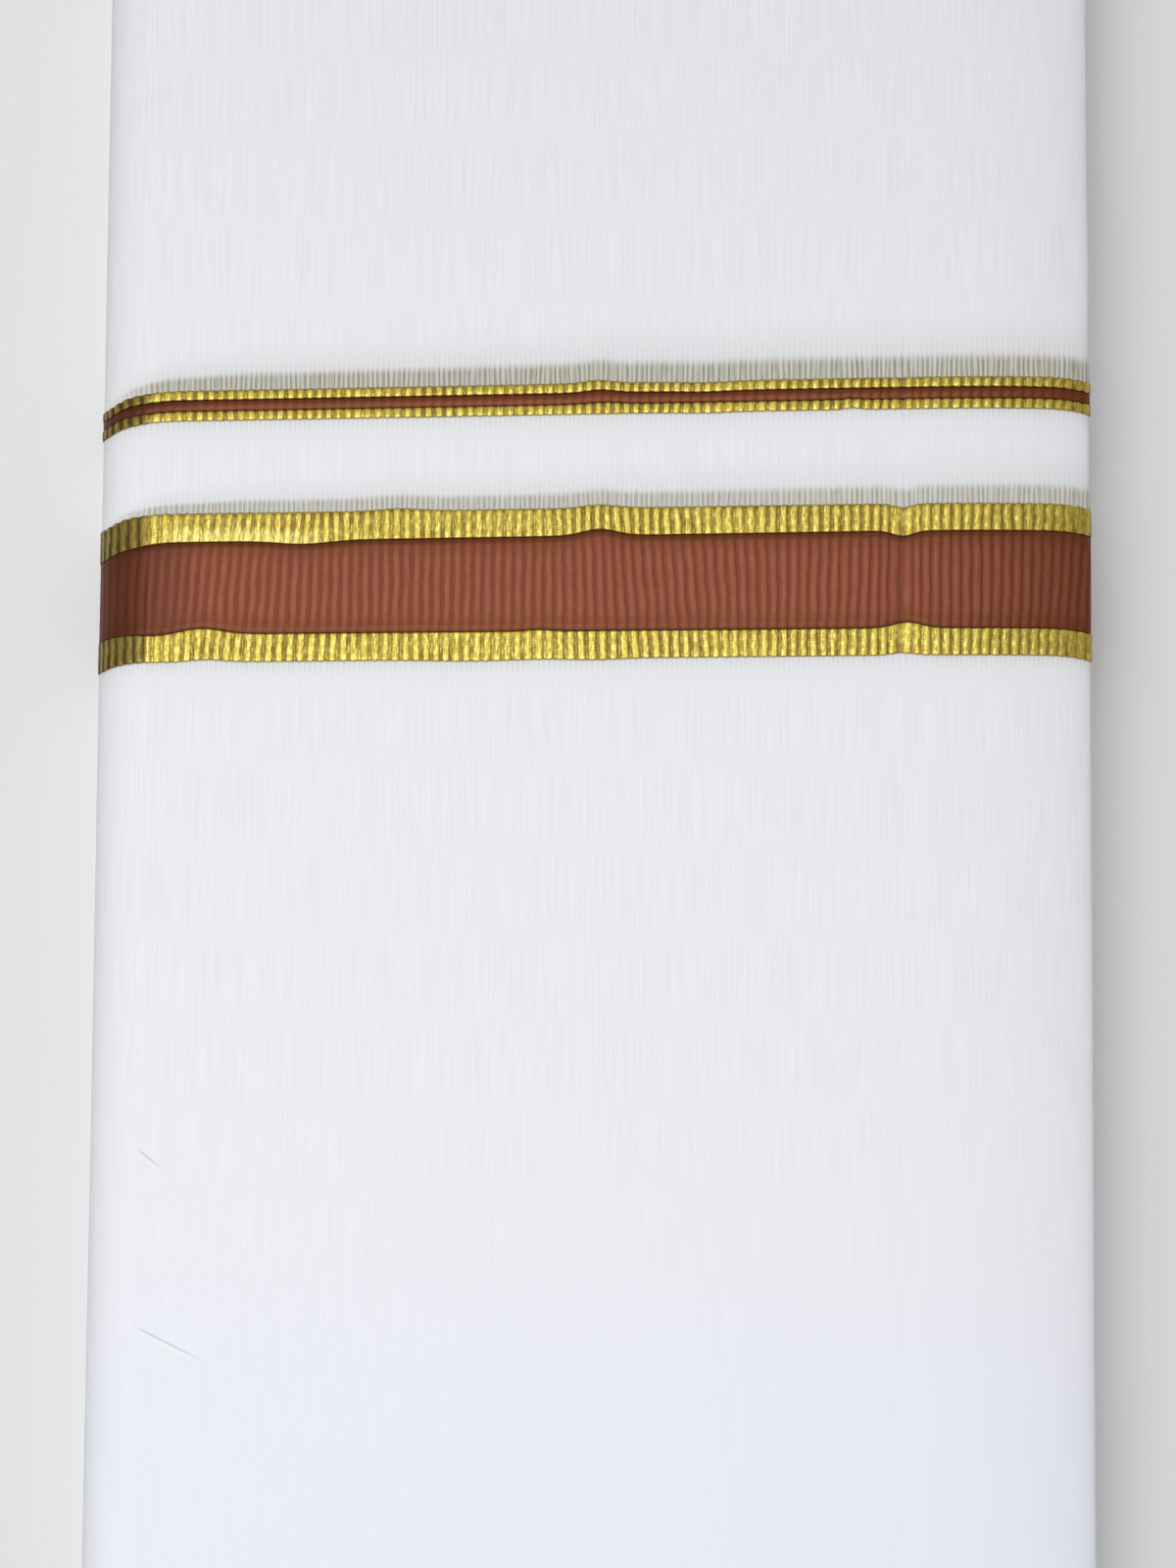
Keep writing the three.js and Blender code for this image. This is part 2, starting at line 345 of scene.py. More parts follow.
def crease(along, y, start, end, depth, width):
    """The relief of a crease: a ridge's bell less a trough's, both across the crease's line.

    s is the distance from the line in half widths and t the way along it. The relief eases in
    with t at the start and out again past the middle.
    """
    start, end = np.array(start) * MM, np.array(end) * MM
    length = np.linalg.norm(end - start)
    direction = (end - start) / length
    t = ((along - start[0]) * direction[0] + (y - start[1]) * direction[1]) / length
    side = (y - start[1]) * direction[0] - (along - start[0]) * direction[1]
    s = side / (width * MM)
    taper = smooth(*CREASE_RISE, t) * (1 - smooth(*CREASE_FALL, t))
    ridge = RIDGE_SHARE * np.exp(-((s + RIDGE_AWAY) ** 2) / RIDGE_SQUARE)
    return depth * MM * taper * (ridge - np.exp(-(s**2)))


def base_relief(along, y):
    """The height of the cloth over its path: a bell for each swell, the creases, and the line
    of the left fold, which falls as exp(-distance / reach).
    """
    height = 0.0
    for place, rise, width in SWELLS:
        height = height + rise * MM * bell(along / MM, place, width)
    for start, end, depth, width in FINE_CREASES + SOFT_CREASES:
        height = height + crease(along, y, start, end, depth, width)
    place, rise, reach = FOLD_LINE
    away = np.sqrt((along - place) ** 2 + FOLD_TIP**2)
    return height + rise * np.exp(-away / reach)


UNEVEN = random_waves(9)
UNEVEN_HEIGHT = 0.03 * MM
UNEVEN_SIZE = (60 * MM, 110 * MM)


def unevenness(along, y):
    """Very shallow waves as long as a hand's breadth, so that no face is a plane."""
    return UNEVEN_HEIGHT * wave_sum(UNEVEN, along, y, *UNEVEN_SIZE)


def settled(along, y):
    """The height without ribs. Under the bundle, all that stands out of the face is taken off."""
    height = base_relief(along, y) + unevenness(along, y)
    return height - under_mask(along) * np.maximum(height, 0.0)


# Where the wide band is pinched and where its middle is. The ribs lean up to a reach from that
# middle, by two waves along the cloth: share, length and start. Then come their small random
# wave, how strongly the pinch draws them in, and how square they are.
PINCH = 76.6 * MM
WIDE_MIDDLE = 46.4 * MM
LEAN_REACH = 18 * MM
LEANS = ((0.05, 31 * MM, 1.1), (0.03, 12 * MM, 0.0))
WOBBLE = random_waves(8)
WOBBLE_SHARE = 0.016
WOBBLE_SIZE = (14 * MM, 11 * MM)
DRAWN_SHARE = 0.35
DRAWN_REACH = 2.2 * MM
RIB_POWER = 0.75


def rib_phase(along, y):
    """Which rib a point is on, as a number that rises by one per rib.

    It is the distance along the cloth in rib widths, plus a lean that grows with the distance
    from the wide band's middle, a small random wave, and a pull towards the pinch.
    """
    wave = wave_sum(WOBBLE, along, y, *WOBBLE_SIZE)
    beside = (along - PINCH) / DRAWN_REACH
    lean = sum(share * np.sin(along / length + start) for share, length, start in LEANS)
    offset = np.clip(y - WIDE_MIDDLE, -LEAN_REACH, LEAN_REACH)
    phase = along / RIB + lean * offset / RIB + WOBBLE_SHARE * wave
    return phase - DRAWN_SHARE * beside * np.exp(-(beside**2) / 2)


def rib_wave(phase):
    """Round ribs with narrow grooves between them: |sin(pi * phase)| to the ribs' power."""
    return np.abs(np.sin(np.pi * phase)) ** RIB_POWER


# ---------------------------------------------------------------- meshes


def tube_quads(rows, columns):
    """The quads of a grid of rows by columns, closed round in its rows and capped at both ends.

    A quad joins neighbours in row and column. In a cap, a rung joins each row of the first
    half to the row that is as far from the end as it is from the start.
    """
    row, column = np.meshgrid(np.arange(rows), np.arange(columns - 1), indexing="ij")
    here, after = row * columns + column, (row + 1) % rows * columns + column
    around = np.stack([here, here + 1, after + 1, after], -1).reshape(-1, 4)
    up = np.arange(rows // 2)
    down = rows - 1 - up
    first = np.stack([up[:-1], up[1:], down[1:], down[:-1]], 1) * columns
    last = first[:, ::-1] + columns - 1
    return np.concatenate([around, first, last])


def linked(piece):
    """The object, after linking it to the scene."""
    bpy.context.scene.collection.objects.link(piece)
    return piece


def tube(name, grid, uv_maps, finish):
    """A smooth closed mesh from a grid of points, its rows going round it.

    Each entry of uv_maps becomes a UV map and holds a pair of values for each point.
    """
    points, quads = grid.reshape(-1, 3), tube_quads(*grid.shape[:2])
    mesh = bpy.data.meshes.new(name)
    mesh.vertices.add(len(points))
    mesh.vertices.foreach_set("co", points.astype(np.float32).ravel())
    mesh.loops.add(quads.size)
    mesh.loops.foreach_set("vertex_index", quads.astype(np.int32).ravel())
    mesh.polygons.add(len(quads))
    mesh.polygons.foreach_set("loop_start", np.arange(0, quads.size, 4, dtype=np.int32))
    mesh.update(calc_edges=True)
    mesh.polygons.foreach_set("use_smooth", np.ones(len(quads), bool))
    for key, values in uv_maps.items():
        layer = mesh.uv_layers.new(name=key)
        pairs = values.reshape(-1, 2)[quads.ravel()]
        layer.data.foreach_set("uv", pairs.astype(np.float32).ravel())
    mesh.validate()
    mesh.materials.append(FINISHES[finish])
    return linked(bpy.data.objects.new(name, mesh))


def shell(name, outer, inner, uv_maps, finish):
    """A closed sheet: the outer grid's rows, then the inner grid's rows in reverse."""
    both = {key: np.concatenate([uv, uv[::-1]]) for key, uv in uv_maps.items()}
    return tube(name, np.concatenate([outer, inner[::-1]]), both, finish)


# ---------------------------------------------------------------- node trees


def linear(red, green, blue):
    """A display colour from 0 to 255 as linear RGBA."""
    channels = [c / 255 for c in (red, green, blue)]
    light = [c / 12.92 if c <= 0.04045 else ((c + 0.055) / 1.055) ** 2.4 for c in channels]
    return (*light, 1.0)


def put(tree, socket, value):
    """Links a socket to an input, or sets the input's value."""
    if isinstance(value, bpy.types.NodeSocket):
        tree.links.new(value, socket)
    else:
        socket.default_value = value


def node(tree, kind, inputs=None, **settings):
    """A new node with its settings, and its inputs by name or number linked or set."""
    made = tree.nodes.new(kind)
    for key, value in settings.items():
        setattr(made, key, value)
    for key, value in (inputs or {}).items():
        put(tree, made.inputs[key], value)
    return made


def calc(tree, operation, *values):
    """The result of a maths node."""
    made = node(tree, "ShaderNodeMath", dict(enumerate(values)), operation=operation)
    return made.outputs[0]


def steps(tree, value, low, high, start=0.0, stop=1.0):
    """value mapped smoothly from low..high to start..stop."""
    inputs = {"Value": value, "From Min": low, "From Max": high, "To Min": start, "To Max": stop}
    made = node(tree, "ShaderNodeMapRange", inputs, interpolation_type="SMOOTHSTEP")
    return made.outputs["Result"]


def blend(tree, factor, first, second):
    """A colour between first and second."""
    made = tree.nodes.new("ShaderNodeMix")
    made.data_type = "RGBA"
    put(tree, made.inputs[0], factor)
    put(tree, made.inputs[6], first)
    put(tree, made.inputs[7], second)
    return made.outputs[2]


def tint(tree, body, amount, colour):
    """The body colour, moved towards a display colour by an amount from 0 to 1."""
    return blend(tree, amount, body, linear(*colour))


def axes(tree, vector):
    """A vector's x, y and z."""
    return node(tree, "ShaderNodeSeparateXYZ", {0: vector}).outputs


def uv_axes(tree, name):
    """A UV map's two coordinates, as the first two axes of a vector."""
    return axes(tree, node(tree, "ShaderNodeUVMap", uv_map=name).outputs[0])


def object_place(tree):
    """A point's place on the object, which is its place in the frame."""
    return node(tree, "ShaderNodeTexCoord").outputs["Object"]


def window(tree, value, rise, fall):
    """0 outside and 1 inside: eased up over the span rise and down again over the span fall."""
    return calc(tree, "MULTIPLY", steps(tree, value, *rise), steps(tree, value, *fall, 1.0, 0.0))


def on_top(tree, place):
    """1 on the top face, easing to 0 half way down."""
    return steps(tree, axes(tree, place)["Z"], 0.5 * HEIGHT, 0.7 * HEIGHT)


def stretched_noise(tree, vector, scale, detail=2.0):
    """Noise from 0 to 1, with its own scale along each axis of the vector."""
    scaled = node(tree, "ShaderNodeVectorMath", {0: vector, 1: scale}, operation="MULTIPLY")
    inputs = {"Vector": scaled.outputs[0], "Scale": 1.0, "Detail": detail}
    return node(tree, "ShaderNodeTexNoise", inputs).outputs["Fac"]


def new_group(name, inputs, outputs):
    """An empty node group with named sockets, its input node and its output node."""
    tree = bpy.data.node_groups.new(name, "ShaderNodeTree")
    for key, kind in inputs.items():
        tree.interface.new_socket(key, in_out="INPUT", socket_type=kind)
    for key, kind in outputs.items():
        tree.interface.new_socket(key, in_out="OUTPUT", socket_type=kind)
    return tree, tree.nodes.new("NodeGroupInput").outputs, tree.nodes.new("NodeGroupOutput").inputs


def group_node(tree, group, inputs):
    """An instance of a group with its inputs linked or set."""
    made = tree.nodes.new("ShaderNodeGroup")
    made.node_tree = group
    for key, value in inputs.items():
        put(tree, made.inputs[key], value)
    return made.outputs


def ribs_group():
    """Ribs that follow the weave: a ridge mask, a slow variation per rib, and fine fibres.

    The ridge mask is |sin(pi * rib)| plus an uneven noise, with its middle made steeper.
    """
    sockets = {key: "NodeSocketFloat" for key in ("Ridge", "Variation", "Fibre")}
    tree, given, result = new_group("ribs", {"Weave": "NodeSocketVector"}, sockets)
    across = axes(tree, given["Weave"])["X"]
    wave = calc(tree, "ABSOLUTE", calc(tree, "SINE", calc(tree, "MULTIPLY", across, math.pi)))
    uneven = stretched_noise(tree, given["Weave"], (2.1, 0.5, 1.0))
    lifted = calc(tree, "ADD", wave, calc(tree, "MULTIPLY_ADD", uneven, 0.6, -0.3))
    put(tree, result["Ridge"], steps(tree, lifted, 0.36, 1.02))
    put(tree, result["Variation"], stretched_noise(tree, given["Weave"], (0.8, 0.3, 1.0), 3.0))
    put(tree, result["Fibre"], stretched_noise(tree, given["Weave"], (11.0, 0.9, 1.0), 3.0))
    return tree


def fold_shade_group():
    """How much painted shade the border takes on the left fold, which turns away from the light: 0
    inside Inner, 1 past Outer, both as x.
    """
    sockets = {"Inner": "NodeSocketFloat", "Outer": "NodeSocketFloat"}
    tree, given, result = new_group("left_fold_shade", sockets, {"Amount": "NodeSocketFloat"})
    x = axes(tree, object_place(tree))["X"]
    put(tree, result["Amount"], steps(tree, x, given["Outer"], given["Inner"], 1.0, 0.0))
    return tree


def new_material(name):
    """A material with its tree, its shader, and its weave and edge coordinates."""
    material = bpy.data.materials.new(name)
    material.use_nodes = True
    tree = material.node_tree
    weave = node(tree, "ShaderNodeUVMap", uv_map="weave").outputs[0]
    return material, tree, tree.nodes["Principled BSDF"], weave, uv_axes(tree, "edges")


def bump(tree, shader, height, distance, strength=1.0):
    """A bump of that distance in metres on a shader."""
    inputs = {"Height": height, "Distance": distance, "Strength": strength}
    put(tree, shader.inputs["Normal"], node(tree, "ShaderNodeBump", inputs).outputs["Normal"])


# Colours are display values from 0 to 255. Every reach across a band is in rib widths.
BROWN = {
    "groove_shade": (112, 57, 36),
    "ridge": (142, 79, 54),
    "dull_rib": (122, 63, 39),
    "fibre": (156, 96, 70),
    "weft": (112, 56, 36),
    "shade_near_gold": (106, 56, 26),
    "shadow_at_gold": (78, 40, 14),
    "shade_on_fold": (78, 36, 22),
}
# Where the brown's painted shade on the left fold sets in and where it is full, as x.
BROWN_FOLD_SHADE = {"Inner": -94 * MM, "Outer": -114 * MM}


def brown_material(ribs, fold):
    """Brown mercerised ribs, with painted shade in the grooves, beside the gold and on the left fold.
    """
    material, tree, shader, weave, edges = new_material("brown_border")
    rib = group_node(tree, ribs, {"Weave": weave})
    weft = stretched_noise(tree, weave, (1.4, 6.0, 1.0), 3.0)
    nearest = calc(tree, "MINIMUM", edges["X"], edges["Y"])
    # Painted shade on the left fold, which turns away from the light.
    fold_shade = calc(tree, "MULTIPLY", group_node(tree, fold, BROWN_FOLD_SHADE)["Amount"], 0.6)
    # The groove tone is painted shade and the ridge tone painted light across each rib, over the ribs'
    # own relief.
    body = blend(tree, rib["Ridge"], linear(*BROWN["groove_shade"]), linear(*BROWN["ridge"]))
    for name, amount in (
        ("dull_rib", steps(tree, rib["Variation"], 0.4, 0.75, 0.0, 0.4)),
        ("fibre", steps(tree, rib["Fibre"], 0.5, 0.8, 0.0, 0.3)),
        ("weft", steps(tree, weft, 0.45, 0.7, 0.0, 0.35)),
        # Painted shade darkens the brown towards the gold, and a painted shadow line lies at its edge.
        ("shade_near_gold", steps(tree, nearest, 0.1, 2.4, 0.7, 0.0)),
        ("shadow_at_gold", steps(tree, nearest, 0.02, 0.22, 0.85, 0.0)),
        ("shade_on_fold", fold_shade),
    ):
        body = tint(tree, body, amount, BROWN[name])
    put(tree, shader.inputs["Base Color"], body)
    shader.inputs["Roughness"].default_value = 0.5
    shader.inputs["Metallic"].default_value = 0.35
    shader.inputs["Specular IOR Level"].default_value = 0.2
    bump(tree, shader, rib["Fibre"], 0.05 * MM, 0.5)
    return material


GOLD = {
    "groove_shade": (122, 96, 10),
    "ridge": (197, 173, 58),
    "strand": (122, 97, 14),
    "glint": (238, 220, 110),
    "at_edge": (150, 112, 60),
    "brighter": (246, 226, 128),
    "shade_on_fold": (60, 40, 8),
}
# Where the gold's painted shade on the left fold sets in and where it is full, as x.
GOLD_FOLD_SHADE = {"Inner": -111.2 * MM, "Outer": -112.8 * MM}

# The brighter patch of the wide band's far gold edge: the spans over which it sets in and ends.
BRIGHT_X = ((-110 * MM, -104 * MM), (-80 * MM, -62 * MM))
BRIGHT_Y = ((45 * MM, 50 * MM), (75 * MM, 80 * MM))
BRIGHT_ACROSS = (0.7, 1.7)


def bright_patch(tree, from_front):
    """1 where the far gold edge of the wide band is brighter beside the left fold.

    It is a window in x times one in y, only near the edge's front line and on the top face.
    """
    place = object_place(tree)
    x, y, _ = axes(tree, place)
    patch = calc(tree, "MULTIPLY", window(tree, x, *BRIGHT_X), window(tree, y, *BRIGHT_Y))
    patch = calc(tree, "MULTIPLY", patch, steps(tree, from_front, *BRIGHT_ACROSS, 1.0, 0.0))
    return calc(tree, "MULTIPLY", patch, on_top(tree, place))


def gold_material(ribs, fold):
    """Gold thread ribs: bright broken ridges and olive grooves, painted as light and shade across each
    rib, and painted glints along and across them.
    """
    material, tree, shader, weave, edges = new_material("gold_zari")
    rib = group_node(tree, ribs, {"Weave": weave})
    glint = stretched_noise(tree, weave, (6.2, 1.3, 1.0), 4.0)
    crossing = stretched_noise(tree, weave, (1.1, 9.0, 1.0), 2.0)
    strand = stretched_noise(tree, weave, (3.9, 0.35, 1.0), 3.0)
    flat = steps(tree, stretched_noise(tree, weave, (0.11, 0.25, 1.0)), 0.42, 0.62, 0.0, 0.55)
    raised = calc(tree, "SUBTRACT", 0.72, rib["Ridge"])
    ridge = calc(tree, "MULTIPLY_ADD", raised, flat, rib["Ridge"])
    bright = steps(tree, calc(tree, "MULTIPLY_ADD", crossing, 0.35, glint), 0.58, 0.86)
    # Painted glints: a bright tint on the ridges where the glint noise peaks.
    painted_glint = calc(tree, "MULTIPLY", bright, steps(tree, ridge, 0.0, 1.0, 0.3, 0.9))
    nearest = calc(tree, "MINIMUM", edges["X"], edges["Y"])
    broken = steps(tree, glint, 0.35, 0.62, 0.25, 0.85)
    # Painted shade on the left fold, where the gold turns out of the light's reflection.
    fold_shade = group_node(tree, fold, GOLD_FOLD_SHADE)["Amount"]
    # The groove tone is painted shade and the ridge tone painted light across each rib, over the ribs'
    # own relief.
    body = blend(tree, ridge, linear(*GOLD["groove_shade"]), linear(*GOLD["ridge"]))
    for name, amount in (
        ("strand", steps(tree, strand, 0.46, 0.7, 0.0, 0.7)),
        ("glint", painted_glint),
        ("at_edge", steps(tree, nearest, 0.0, 0.2, 0.25, 0.0)),
        ("brighter", calc(tree, "MULTIPLY", bright_patch(tree, edges["X"]), broken)),
        ("shade_on_fold", calc(tree, "MULTIPLY", fold_shade, steps(tree, ridge, 0.0, 1.0, 0.85, 0.5))),
    ):
        body = tint(tree, body, amount, GOLD[name])
    put(tree, shader.inputs["Base Color"], body)
    put(tree, shader.inputs["Roughness"], steps(tree, bright, 0.0, 1.0, 0.48, 0.38))
    put(tree, shader.inputs["Metallic"], steps(tree, ridge, 0.0, 1.0, 0.35, 0.5))
    bump(tree, shader, calc(tree, "MULTIPLY_ADD", strand, -0.6, glint), 0.1 * MM, 0.6)
    return material


WHITE = {
    "gap": (231, 233, 236),
    "thread": (239, 240, 243),
    "cloud": (234, 238, 240),
    # front is painted light, brighter towards the front of the bundle.
    "front": (236, 239, 247),
    "sheer_strip": (156, 150, 124),
    "below_band": (180, 174, 156),
}

# The two painted lines of a fine crease, painted shade in it and a painted highlight beside it: how
# far across the crease, half width, strength and colour.
CREASE_SHADING = [
    (0.0, 0.42 * MM, 0.7, (188, 192, 196)),
    (-0.8 * MM, 0.9 * MM, 0.5, (250, 251, 255)),
]


def crease_line(tree, place, start, end):
    """How far across a crease a point lies, in metres, and how strong the crease is there.

    The way from the start is dotted with the crease's direction and with its normal. The
    strength eases in and out along the crease, and is 0 below the top face.
    """
    (x0, y0), (x1, y1) = start, end
    length = math.hypot(x1 - x0, y1 - y0)
    east, north = (x1 - x0) / length, (y1 - y0) / length
    from_start = {0: place, 1: (x0 * MM, y0 * MM, 0)}
    way = node(tree, "ShaderNodeVectorMath", from_start, operation="SUBTRACT").outputs[0]
    run, side = (
        node(tree, "ShaderNodeVectorMath", {0: way, 1: axis}, operation="DOT_PRODUCT").outputs["Value"]
        for axis in ((east, north, 0), (-north, east, 0))
    )
    taper = window(tree, calc(tree, "DIVIDE", run, length * MM), (-0.05, 0.2), (0.5, 1.1))
    return side, calc(tree, "MULTIPLY", taper, on_top(tree, place))


def crease_shading(tree, place, body):
    """The body colour with a painted shade line in each fine crease and a painted highlight line
    beside it.
    """
    for start, end, _, _ in FINE_CREASES:
        side, strong = crease_line(tree, place, start, end)
        for middle, reach, amount, colour in CREASE_SHADING:
            away = calc(tree, "ABSOLUTE", calc(tree, "SUBTRACT", side, middle))
            line = calc(tree, "MULTIPLY", steps(tree, away, 0.0, reach, amount, 0.0), strong)
            body = tint(tree, body, line, colour)
    return body


def thread_lines(tree, weave, threads):
    """Darker thread lines, two to a rib: a cosine across the ribs plus the threads' own noise."""
    pairs = calc(tree, "COSINE", calc(tree, "MULTIPLY", axes(tree, weave)["X"], 4 * math.pi))
    noise = calc(tree, "MULTIPLY_ADD", threads, 1.6, -0.3)
    return steps(tree, calc(tree, "MULTIPLY_ADD", pairs, 0.16, noise), 0.22, 0.78)


def sheer_strip(tree, height, dark):
    """How much of the border below shows through behind a band.

    It is a firm edge plus a soft fade, both by the height above the band as a share of the
    strip's own, times the dark thread lines and the strip's strength.
    """
    firm = steps(tree, height, 0.6, 1.05, 0.7, 0.0)
    amount = calc(tree, "ADD", firm, steps(tree, height, 0.3, 2.8, 0.3, 0.0))
    amount = calc(tree, "MULTIPLY", amount, calc(tree, "MULTIPLY_ADD", dark, 0.62, 0.4))
    return calc(tree, "MULTIPLY", amount, uv_axes(tree, "sheer")["X"])


def below_band(tree, distance, dark):
    """A shade in front of a band: exp(-1.1 * the distance in rib widths), with thread lines."""
    fade = calc(tree, "POWER", math.e, calc(tree, "MULTIPLY", distance, -1.1))
    return calc(tree, "MULTIPLY", fade, calc(tree, "MULTIPLY_ADD", dark, 0.4, 0.1))


def white_material():
    """Fine white cotton: thread lines, faint clouds, a sheer strip behind each border band, and
    painted light towards the front.
    """
    material, tree, shader, weave, edges = new_material("white_cotton")
    place = object_place(tree)
    threads = stretched_noise(tree, weave, (5.2, 0.12, 1.0), 3.0)
    lines = stretched_noise(tree, weave, (2.3, 0.05, 1.0), 2.0)
    clouds = stretched_noise(tree, weave, (0.05, 0.04, 1.0), 2.0)
    dark = thread_lines(tree, weave, threads)
    uneven = calc(tree, "MULTIPLY_ADD", lines, 0.3, calc(tree, "MULTIPLY_ADD", threads, 0.25, -0.27))
    height = calc(tree, "ADD", edges["X"], uneven)
    # Painted light: the white grows brighter towards the front of the bundle, at -y.
    front = steps(tree, axes(tree, place)["Y"], -190 * MM, -30 * MM, 0.8, 0.0)
    body = blend(tree, steps(tree, threads, 0.3, 0.7), linear(*WHITE["gap"]), linear(*WHITE["thread"]))
    for name, amount in (
        ("cloud", steps(tree, clouds, 0.35, 0.7, 0.0, 0.3)),
        ("front", front),
        ("sheer_strip", sheer_strip(tree, height, dark)),
        ("below_band", below_band(tree, edges["Y"], dark)),
    ):
        body = tint(tree, body, amount, WHITE[name])
    put(tree, shader.inputs["Base Color"], crease_shading(tree, place, body))
    shader.inputs["Roughness"].default_value = 0.85
    shader.inputs["Specular IOR Level"].default_value = 0.2
    shader.inputs["Sheen Weight"].default_value = 0.1
    bump(tree, shader, calc(tree, "MULTIPLY_ADD", lines, 0.5, threads), 0.03 * MM, 0.5)
    return material


RIBS = ribs_group()
LEFT_FOLD_SHADE = fold_shade_group()
FINISHES = {
    "white_cotton": white_material(),
    "gold_zari": gold_material(RIBS, LEFT_FOLD_SHADE),
    "brown_border": brown_material(RIBS, LEFT_FOLD_SHADE),
}


# ---------------------------------------------------------------- the stretches of cloth

# A distance from a band, in rib widths, at which nothing of it shows.
FAR = 50.0

# How deep white cloth is tucked under a band, how much a band stands proud, how high its ribs
# are and how deep they scallop its edges. Every face is sunk a little more under the bundle,
# and gold drops a little at its edges. Within a reach of the pinch, ribs flatten by a share.
TUCK = 0.42 * MM
BAND_RAISE = 0.1 * MM
BROWN_RIB = 0.13 * MM
GOLD_RIB = 0.26 * MM
SCALLOP = 0.3 * MM
WIDE_INNER_SCALLOP = 0.08 * MM
NARROW_INNER_SCALLOP = 0.25 * MM
SUNK = 0.12 * MM
EDGE_DROP = 0.12 * MM
PINCH_REACH = 2.5 * MM
BROWN_FLATTENED = 0.5
GOLD_FLATTENED = 0.6
BROWN_RAISE = 0.3 * BAND_RAISE

# Over which distances from an edge white and brown come out from under a band, and gold rises.
WHITE_TUCK = (-0.3 * MM, 0.25 * MM)
BROWN_TUCK = (-0.15 * MM, 0.2 * MM)
GOLD_EDGE = (-0.1 * MM, 0.5 * MM)

# How thick each sheet is, and how a fold at the bundle's end turns in.
CLOTH = 0.45 * MM
BAND_CLOTH = 0.3 * MM
END_RADIUS = 0.49 * MM
END_RETURN = 5 * MM

# How high the border of the layer below shows through, by distance along the cloth, both in
# millimetres, and how strongly. It fades out round the spine.
SHEER_ALONG = (-128, -108, -90, 0, 120)
SHEER_FADE = (-127 * MM, -108 * MM)
NO_SHEER = ((1, 1, 1, 1, 1), 0.0)
SHEER = {
    "white_back": ((1.0, 3.6, 4.7, 5.9, 6.4), 1.0),
    "white_between": ((0.8, 2.6, 3.6, 4.4, 5.6), 0.84),
}


def end_rows(side):
    """The rows of a fold at an end of the bundle: offset, depth and turn, from inside out.

    They go round half a circle, with a flat return below it and flat rows above.
    """
    turn = np.linspace(np.pi, 0, 9)
    offset = END_RADIUS * (1 - np.sin(turn))
    depth = END_RADIUS * (1 - np.cos(turn))
    offset = np.concatenate([[END_RETURN, END_RETURN / 3], offset, [1.6 * MM, 3 * MM, 6 * MM]])
    depth = np.concatenate([[depth[0], depth[0]], depth, [0, 0, 0]])
    turn = np.concatenate([[np.pi, np.pi], turn, [0, 0, 0]])
    return (offset, depth, -turn) if side < 0 else (-offset[::-1], depth[::-1], turn[::-1])


def flat_rows(offsets):
    """Rows at offsets in millimetres from a border edge, lying flat."""
    offset = np.array(offsets) * MM
    return offset, np.zeros(len(offset)), np.zeros(len(offset))


def row_table(front, back, t):
    """All rows of a stretch: weight between its two lines, offset, depth and turn.

    The rows between its edge rows lie at the fractions t of the way.
    """
    between = front[0][-1] + (back[0][0] - front[0][-1]) * t
    weight = np.concatenate([np.zeros(len(front[0])), t, np.ones(len(back[0]))])
    level = np.zeros(len(t))
    columns = [np.concatenate([front[k], level, back[k]]) for k in (1, 2)]
    return weight, np.concatenate([front[0], between, back[0]]), *columns


def even(count):
    """Fractions that part the way into equal steps."""
    return np.linspace(0, 1, count + 2)[1:-1]


# Rows of the front stretch: coarse, fine over the creases beside the spine, and coarse again.
CREASED = np.concatenate(
    [np.linspace(0.02, 0.235, 10), np.linspace(0.24, 0.5, 71), np.linspace(0.52, 0.98, 18)]
)


def end_line(side, along):
    """y of the bundle's end: set in by two waves along the cloth, of which one is shorter."""
    wave = np.sin(along / (23 * MM) + side) + np.sin(along / (9.5 * MM) + 2 * side)
    return side * (HALF_LENGTH - 0.25 * MM + 0.1 * MM * wave)


def neighbour(name, step):
    """The stretch in front of (-1) or behind (+1) a stretch, or None at the bundle's ends."""
    order = [pair[0] for pair in BORDER_LINES][::-1] + ["white_back"]
    index = order.index(name) + step
    return order[index] if 0 <= index < len(order) else None


def lines_of(name, along):
    """y of a stretch's front and back line."""
    before, after = neighbour(name, -1), neighbour(name, 1)
    front = border_edge((before, name), along) if before else end_line(-1, along)
    back = border_edge((name, after), along) if after else end_line(1, along)
    return front, back


def ride_root(piece, name):
    """Puts a piece on the one body, in the place of its CAD node, which it hides."""
    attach(piece, "root")
    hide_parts(name)
    return piece


def build_stretch(name, columns, rows, relief, thickness, uv_maps, finish):
    """A stretch: rows by columns of points, each its path point plus (relief - depth) * normal.

    The inner grid lies a thickness behind the outer one, turned with the fold at each end.
    """
    weight, offset, depth, turn = (value[:, None] for value in rows)
    along = columns[None, :]
    front, back = lines_of(name, along)
    y = front * (1 - weight) + back * weight + offset
    behind, before = y - front, back - y
    height, shift = relief(along, y, behind, before)
    y = y + shift
    point, normal = on_path(columns, PATH)[None], on_path(columns, NORMAL)[None]
    normal = normal / np.linalg.norm(normal, axis=-1, keepdims=True)
    face = (height - depth)[..., None]
    lift = face * normal
    outer = np.stack([point[..., 0] + lift[..., 0], y, point[..., 1] + lift[..., 1]], -1)
    out, side = np.cos(turn) * thickness, np.sin(turn) * thickness
    through = np.broadcast_arrays(out * normal[..., 0], side, out * normal[..., 1])
    maps = uv_maps(along, y, behind, before)
    piece = shell("cloth_" + name, outer, outer - np.stack(through, -1), maps, finish)
    return ride_root(piece, name)


def weave_map(along, y, behind):
    """The weave's coordinates: which rib, and how far back in rib widths."""
    return np.stack(np.broadcast_arrays(rib_phase(along, y), behind / RIB), -1)


